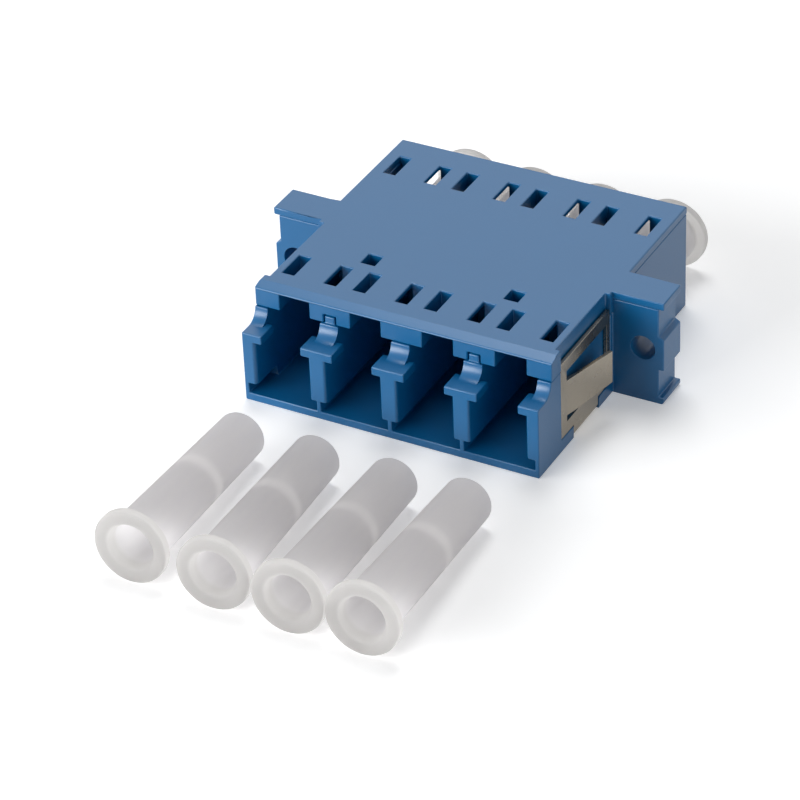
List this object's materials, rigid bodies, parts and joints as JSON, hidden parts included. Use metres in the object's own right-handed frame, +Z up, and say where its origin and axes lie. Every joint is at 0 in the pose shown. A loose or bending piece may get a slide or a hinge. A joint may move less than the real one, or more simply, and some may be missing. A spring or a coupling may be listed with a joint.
{
  "type": "lc fibre adapter",
  "caption": "Ganged fibre adapter for latching small-form plugs: moulded housing with flange, panel spring clip, split alignment sleeves and pull-off dust caps.",
  "frame": {"origin": "centre of the underside, below the flange's front face that meets the panel", "axes": "+X across the ports, +Y from the open ports to the capped ports, +Z up from the underside to the cover"},
  "size_m": [0.0344, 0.0575, 0.0093],
  "materials": {
    "housing_plastic": "satin moulded thermoplastic, single-mode blue",
    "spring_steel": "rolled stainless spring sheet",
    "holder_plastic": "satin moulded thermoplastic",
    "sleeve_ceramic": "polished zirconia ceramic",
    "cap_plastic": "translucent low-density polyethylene"
  },
  "bodies": {
    "adapter": {"lower_housing": "housing_plastic", "top_cover": "housing_plastic", "panel_clip": "spring_steel", "sleeve_holder_front": "holder_plastic", "sleeve_holder_rear": "holder_plastic", "alignment_sleeve_1": "sleeve_ceramic", "alignment_sleeve_2": "sleeve_ceramic", "alignment_sleeve_3": "sleeve_ceramic", "alignment_sleeve_4": "sleeve_ceramic", "dust_cap_loose_1": "cap_plastic", "dust_cap_loose_2": "cap_plastic", "dust_cap_loose_3": "cap_plastic", "dust_cap_loose_4": "cap_plastic"},
    "rear_cap_1": {"dust_cap_rear_1": "cap_plastic"},
    "rear_cap_2": {"dust_cap_rear_2": "cap_plastic"},
    "rear_cap_3": {"dust_cap_rear_3": "cap_plastic"},
    "rear_cap_4": {"dust_cap_rear_4": "cap_plastic"}
  },
  "joints": [
    {"name": "cap_1_pull", "type": "slide", "parent": "adapter", "child": "rear_cap_1", "axis": [0, 1, 0], "range_m": [0, 0.014]},
    {"name": "cap_2_pull", "type": "slide", "parent": "adapter", "child": "rear_cap_2", "axis": [0, 1, 0], "range_m": [0, 0.014]},
    {"name": "cap_3_pull", "type": "slide", "parent": "adapter", "child": "rear_cap_3", "axis": [0, 1, 0], "range_m": [0, 0.014]},
    {"name": "cap_4_pull", "type": "slide", "parent": "adapter", "child": "rear_cap_4", "axis": [0, 1, 0], "range_m": [0, 0.014]}
  ]
}
